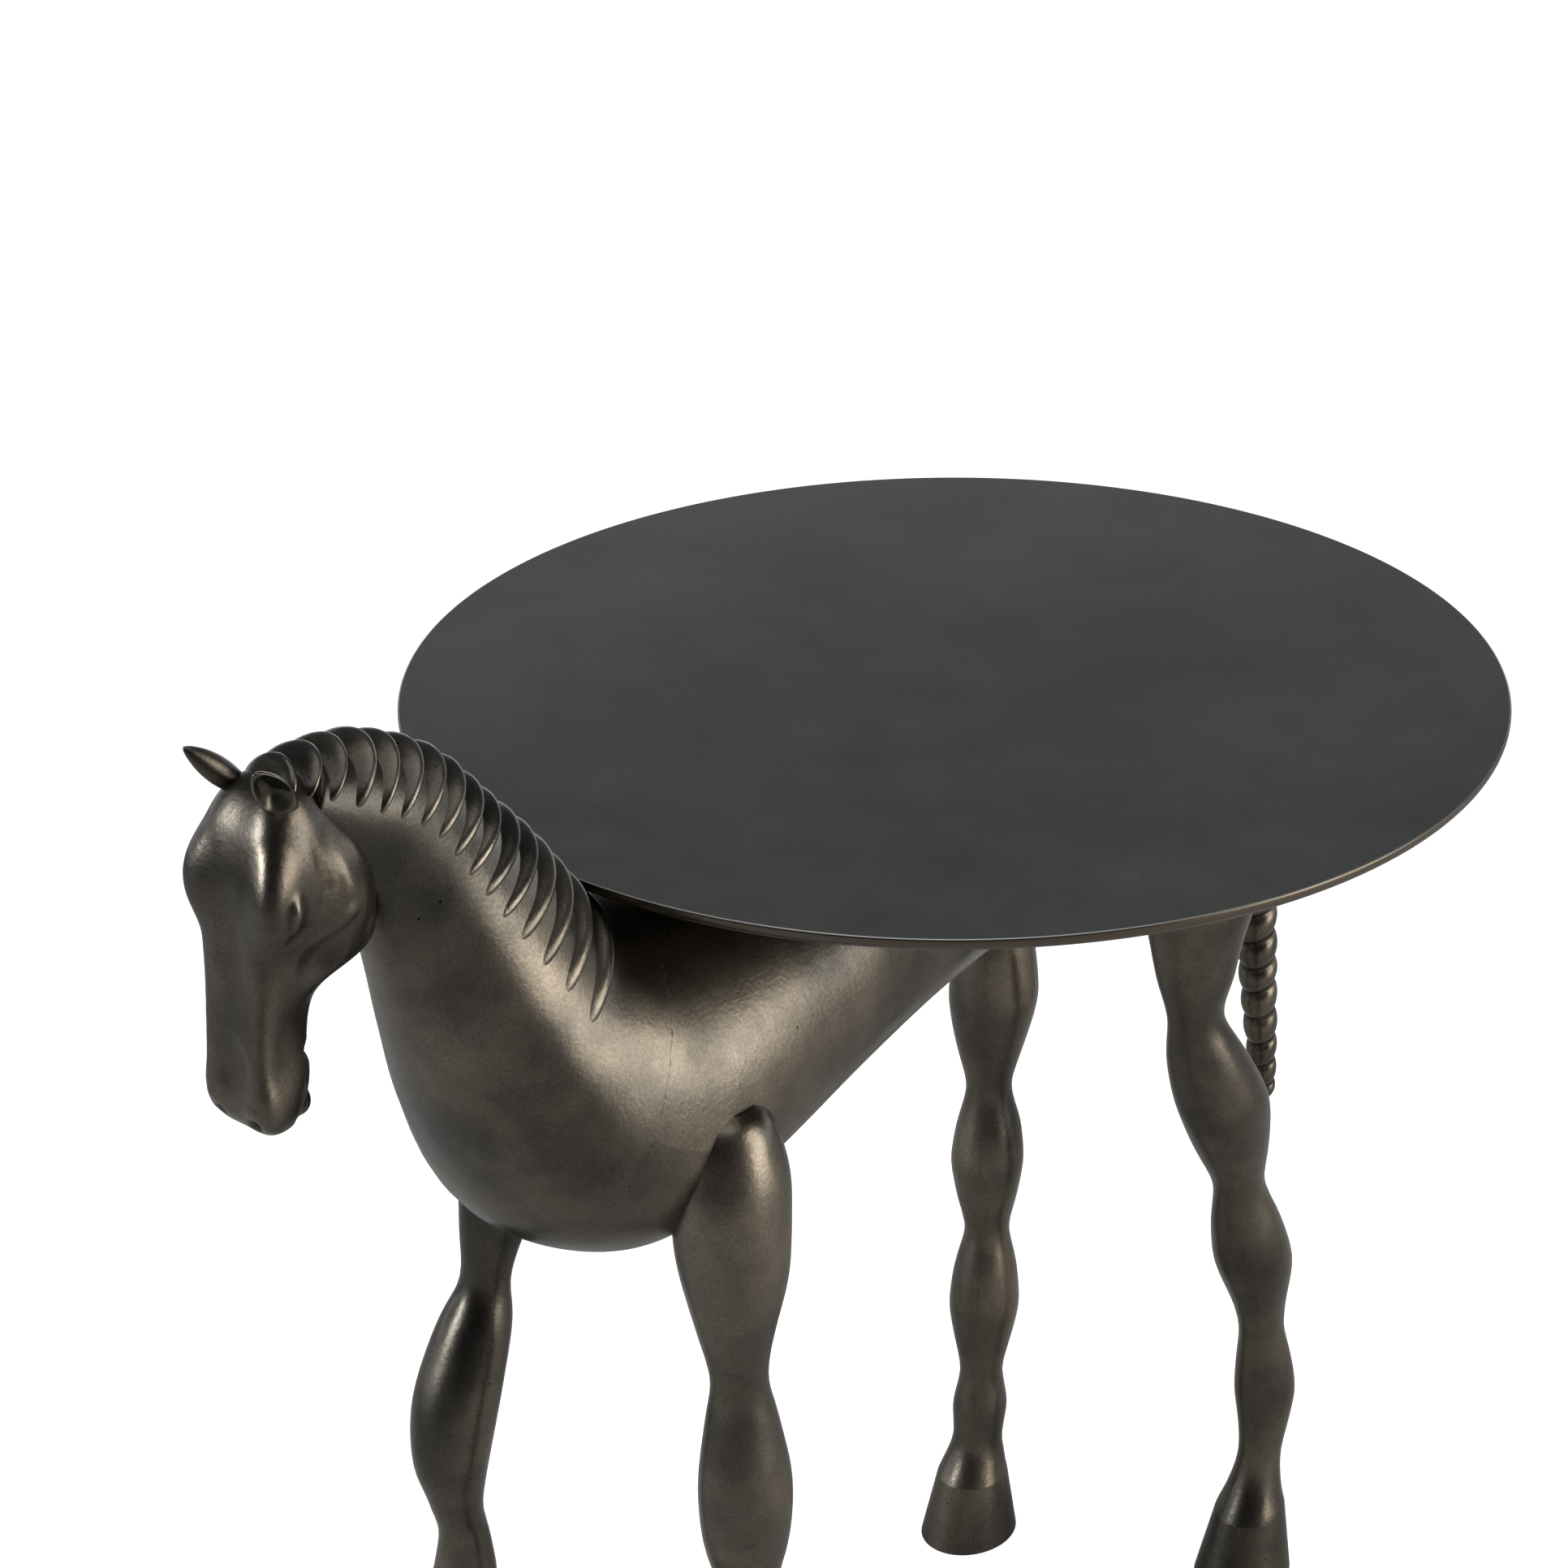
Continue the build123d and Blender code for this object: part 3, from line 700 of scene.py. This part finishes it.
def make_ear(name, root, tip, opening, girth):
    """A leaf from root to tip whose cup opens sideways in the given direction."""
    root, tip = Vector(root), Vector(tip)
    along = (tip - root).normalized()
    ahead = (Vector(opening) - along * Vector(opening).dot(along)).normalized()
    across = along.cross(ahead)
    rings = []
    for step in range((len(EAR_RINGS) - 1) * EAR_STEPS + 1):
        t, wide, deep, hollow = smooth_between(EAR_RINGS, step / EAR_STEPS)
        ring = []
        for angle in circle_angles(EAR_AROUND):
            side, front = math.cos(angle), math.sin(angle)
            if front > 0:
                front = 0.62 * front ** 0.7 - (1.25 * front ** 2.0 - 0.2 * front ** 0.7) * hollow
            offset = (across * side * wide + ahead * front * deep) * girth
            ring.append((root + (tip - root) * t + offset) * MM)
        rings.append(ring)
    return roll_grid(name, close_ends(rings))


left_ear = make_ear("left_ear_carved", root=(15.5, -323, 650), tip=(18.5, -340.5, 672.5),
                    opening=(0.90, -0.29, -0.31), girth=1.0)
right_ear = make_ear("right_ear_carved", root=(-14, -320, 649), tip=(-22.5, -341, 671),
                     opening=(-0.80, -0.45, 0.10), girth=0.84)
hand_over(left_ear, "left_ear")
hand_over(right_ear, "right_ear")
print("ears:", left_ear.name, right_ear.name)

# %% [markdown]
# ## The studio
# Metal shows its surroundings, so the studio is shaped for the reflections: a pale
# floor, a bright band near the horizon for the edges, a darker ceiling and a darker
# room in front for the body of the metal, and soft boxes for the highlights.  The
# paper glows only where it is looked at directly, so it is white without flooding
# the metal with light from below.

# %% Stage
PAPER_GREY, PAPER_GLOW, PAPER_SIZE = 0.60, 0.88, 14

bpy.context.scene.view_settings.view_transform = "Standard"
bpy.ops.object.select_all(action="DESELECT")
bpy.ops.mesh.primitive_plane_add(size=PAPER_SIZE, location=(0, 0, 0))
floor = bpy.context.active_object
floor.name = "studio_floor"
paper = bpy.data.materials.new("studio_paper")
paper.use_nodes = True
paper_shader = paper.node_tree.nodes["Principled BSDF"]
paper_shader.inputs["Base Color"].default_value = (PAPER_GREY, PAPER_GREY, PAPER_GREY, 1)
paper_shader.inputs["Roughness"].default_value = 0.9
paper_shader.inputs["Emission Color"].default_value = (1, 1, 1, 1)
glow = add_node(paper.node_tree, "ShaderNodeMath", operation="MULTIPLY")
glow.inputs[1].default_value = PAPER_GLOW
looked_at = paper.node_tree.nodes.new("ShaderNodeLightPath").outputs["Is Camera Ray"]
paper.node_tree.links.new(looked_at, glow.inputs[0])
paper.node_tree.links.new(glow.outputs[0], paper_shader.inputs["Emission Strength"])
finish_with(floor, paper)
print("floor:", floor.name, PAPER_SIZE, "m square")

# %% World
HORIZON, CEILING = (1.0, 1.04, 1.10), (0.105, 0.108, 0.112)
DARK_SIDE, DARK_SHARE = (0.68, -0.73, 0.0), (0.12, 0.12, 0.12)      # the room in front
ROOM_STRENGTH = 1.75

world = bpy.data.worlds.new("studio")
bpy.context.scene.world = world
world.use_nodes = True
sky_tree = world.node_tree
sky = sky_tree.nodes["Background"]
direction = add_node(sky_tree, "ShaderNodeTexCoord").outputs["Generated"]
parts = add_node(sky_tree, "ShaderNodeSeparateXYZ")
sky_tree.links.new(direction, parts.inputs[0])
sky_colour = ramp(sky_tree, parts.outputs["Z"], 0.02, 0.32, HORIZON, CEILING)
towards = add_node(sky_tree, "ShaderNodeVectorMath", operation="DOT_PRODUCT")
towards.inputs[1].default_value = DARK_SIDE
sky_tree.links.new(direction, towards.inputs[0])
room = ramp(sky_tree, towards.outputs["Value"], 0.0, 0.75, (1, 1, 1), DARK_SHARE)
sky_tree.links.new(blend_colours(sky_tree, "MULTIPLY", 1.0, sky_colour, room), sky.inputs["Color"])
sky.inputs["Strength"].default_value = ROOM_STRENGTH
backdrop = add_node(sky_tree, "ShaderNodeBackground", Color=(1, 1, 1, 1), Strength=1.0)
seen = add_node(sky_tree, "ShaderNodeLightPath").outputs["Is Camera Ray"]
either = add_node(sky_tree, "ShaderNodeMixShader")
sky_tree.links.new(seen, either.inputs[0])
sky_tree.links.new(sky.outputs[0], either.inputs[1])
sky_tree.links.new(backdrop.outputs[0], either.inputs[2])
sky_tree.links.new(either.outputs[0], sky_tree.nodes["World Output"].inputs["Surface"])
print("world:", world.name, "strength", ROOM_STRENGTH)


# %% Soft boxes
def soft_box(name, place, aim, width, height, power, colour):
    data = bpy.data.lights.new(name, "AREA")
    data.shape = "RECTANGLE"
    data.size, data.size_y = width, height
    data.energy = power
    data.color = colour
    box = bpy.data.objects.new(name, data)
    bpy.context.collection.objects.link(box)
    box.location = place
    box.rotation_euler = (Vector(aim) - Vector(place)).to_track_quat("-Z", "Y").to_euler()


soft_box("right_box", (1.75, 0.75, 0.9), (0, 0, 0.4), 1.1, 1.6, 34, (1.0, 0.94, 0.86))
soft_box("left_box", (-1.0, -1.9, 1.3), (0, -0.2, 0.5), 0.6, 0.8, 28, (0.95, 0.98, 1.0))
soft_box("top_box", (0.2, -0.3, 2.6), (0, 0, 0), 2.0, 2.0, 18, (1, 1, 1))
print("soft boxes: 3")

# %% [markdown]
# ## The camera
# The camera stands to the horse's left and looks down on the top with a long lens.
# A tracking constraint would keep it level, so its three axes are worked out from
# its direction and a slight roll, and its place is measured from the top's centre.

# %% Camera
CAMERA_LENS, CAMERA_SENSOR = 93.17, 36                      # mm
CAMERA_TURNS = (43, 25.815, -1.074)                         # azimuth, elevation, roll, degrees
CAMERA_FROM_TOP = Vector((1.1020, -1.2959, 0.7706))         # from the top's centre, metres

top_low, top_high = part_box("tabletop")
table_centre = Vector(((top_low[0] + top_high[0]) / 2, (top_low[1] + top_high[1]) / 2, top_high[2]))
camera_data = bpy.data.cameras.new("camera")
camera = bpy.data.objects.new("camera", camera_data)
bpy.context.collection.objects.link(camera)
camera_data.sensor_width = CAMERA_SENSOR
camera_data.lens = CAMERA_LENS
azimuth, elevation, roll = (math.radians(turn) for turn in CAMERA_TURNS)
backward = Vector((math.sin(azimuth) * math.cos(elevation),
                   -math.cos(azimuth) * math.cos(elevation), math.sin(elevation)))
right = Vector((math.cos(azimuth), math.sin(azimuth), 0))
up = backward.cross(right)
right_rolled = right * math.cos(roll) + up * math.sin(roll)
up_rolled = up * math.cos(roll) - right * math.sin(roll)
facing = Matrix((right_rolled, up_rolled, backward)).transposed().to_4x4()
camera.matrix_world = Matrix.Translation(table_centre + CAMERA_FROM_TOP) @ facing
bpy.context.scene.camera = camera
print("camera at:", [round(c, 3) for c in camera.location])
